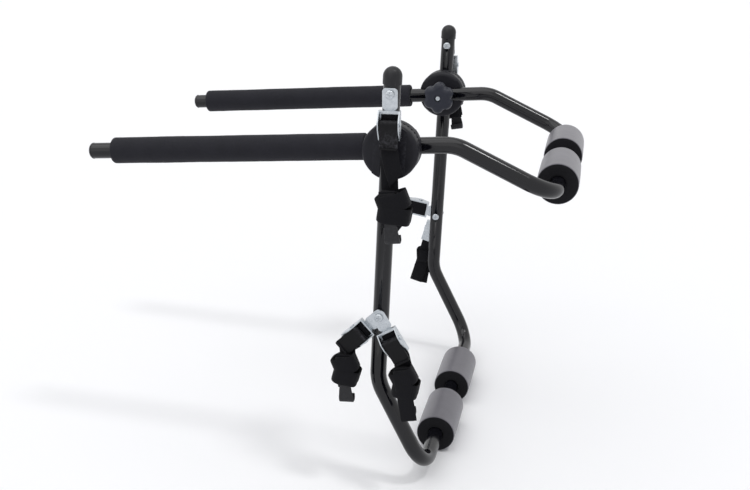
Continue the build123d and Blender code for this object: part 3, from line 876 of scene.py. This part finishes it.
def make_strap(name, strap):
    """All the webbing of one strap as one piece."""
    to_hank = hank_place(strap)
    turned_by = to_hank.to_3x3()
    lift = strap["lift"]
    hank, hank_across = hank_line(lift, strap["fan"], strap.get("drop", 0))
    line, across = lead_line(strap, to_hank, hank[0])
    line += [to_hank @ p for p in hank]
    across += [turned_by @ a for a in hank_across]
    bands = [swept(line, across), second_layer(strap)]
    if strap.get("tucked"):
        bands.append(tucked_layer())
    centre = -HEAD - FOLD / 2
    for offset, slant, turns, begin, extra in WRAPS[strap["wraps"]]:
        loop, loop_across = wrap_line(strap.get("aside", 0), centre + offset, slant, strap["wide"] + extra,
                                      WRAP_DEPTH + extra, lift, turns, begin)
        bands.append(swept([to_hank @ p for p in loop], [turned_by @ a for a in loop_across]))
    if strap.get("tail"):
        bands.append(loose_end(strap["tail"], lift + (LAYERS - 1) * PITCH, to_hank))
    points, faces, uvs = joined(bands)
    place = buckle_place(strap)
    points = [place @ p for p in points]
    if strap["side"] < 0:
        faces = [tuple(reversed(face)) for face in faces]
    body = f"buckle_{name}"
    piece = add_piece(f"webbing_{name}", points, faces, [webbing_black], body, uvs=uvs)
    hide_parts(f"strap_{name}")
    return piece


for name, strap in straps.items():
    piece = make_strap(name, strap)
    print(piece.name, len(piece.data.vertices), "points")

# %% [markdown]
# ## Floor and light
# The photographed carrier stands in a white sweep. One very large pale floor gives that here. A
# broad soft box overhead lights it, a narrow strip draws the bright line on the sloping tubes, and
# a weak box opens up the front. The world is dim and even for the light it gives, and plain white
# for the camera and in reflections, so that the gloss shows the same white room.

# %% Floor
FLOOR_GAP = 0.0005
HALF_FLOOR = 60.0
floor_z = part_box("lower_pad_left")[0].z - FLOOR_GAP
floor_mesh = bpy.data.meshes.new("floor")
corners = [(x * HALF_FLOOR, y * HALF_FLOOR, floor_z) for x, y in ((-1, -1), (1, -1), (1, 1), (-1, 1))]
floor_mesh.from_pydata(corners, [], [(0, 1, 2, 3)])
floor = bpy.data.objects.new("floor", floor_mesh)
bpy.context.scene.collection.objects.link(floor)
floor_pale, tree, shader, place = finish_of("floor pale", (0.97, 0.97, 0.98), 0.7, Specular_IOR_Level=0.1)
spot = place.outputs["Object"]
paper = use_group(tree, fine_grain, {"Vector": spot, "Grain mm": 4.0, "Blotch mm": 900.0})
pale = blend_color(tree, paper.outputs["Blotch"], (0.965, 0.965, 0.98), (0.975, 0.975, 0.985))
tree.links.new(pale, shader.inputs["Base Color"])
floor_mesh.materials.append(floor_pale)
print("floor at", round(floor_z, 4))

# %% Lights
world = bpy.data.worlds.new("studio")
bpy.context.scene.world = world
world.use_nodes = True
tree = world.node_tree
dim = tree.nodes["Background"]
dim.inputs["Color"].default_value = (0.97, 0.98, 1.0, 1)
dim.inputs["Strength"].default_value = 0.55
white = add_node(tree, "ShaderNodeBackground", {"Color": (1, 1, 1, 1), "Strength": 1.0})
rays = add_node(tree, "ShaderNodeLightPath")
seen = math_node(tree, "MAXIMUM", rays.outputs["Is Camera Ray"], rays.outputs["Is Glossy Ray"])
seen = math_node(tree, "MAXIMUM", seen, rays.outputs["Is Transmission Ray"])
either = add_node(tree, "ShaderNodeMixShader", {0: seen, 1: dim.outputs[0], 2: white.outputs[0]})
tree.links.new(either.outputs[0], tree.nodes["World Output"].inputs["Surface"])


def soft_sun(name, strength, angle, toward):
    """A sun of some width in degrees, which acts as a soft box that is far away."""
    light = bpy.data.objects.new(name, bpy.data.lights.new(name, "SUN"))
    bpy.context.scene.collection.objects.link(light)
    light.data.energy = strength
    light.data.angle = math.radians(angle)
    light.rotation_mode = "QUATERNION"
    light.rotation_quaternion = Vector(toward).to_track_quat("-Z", "Y")


soft_sun("overhead box", strength=0.95, angle=60, toward=(0.30, 0.15, -1.0))
soft_sun("key strip", strength=0.55, angle=9, toward=(-0.36, 0.11, -0.93))
soft_sun("front box", strength=0.35, angle=60, toward=(0.5, 1.0, -0.6))
print("lights ready")

# %% [markdown]
# ## Closing
# The picture's white stays white with the Standard view transform.

# %% Finish
bpy.context.scene.view_settings.view_transform = "Standard"
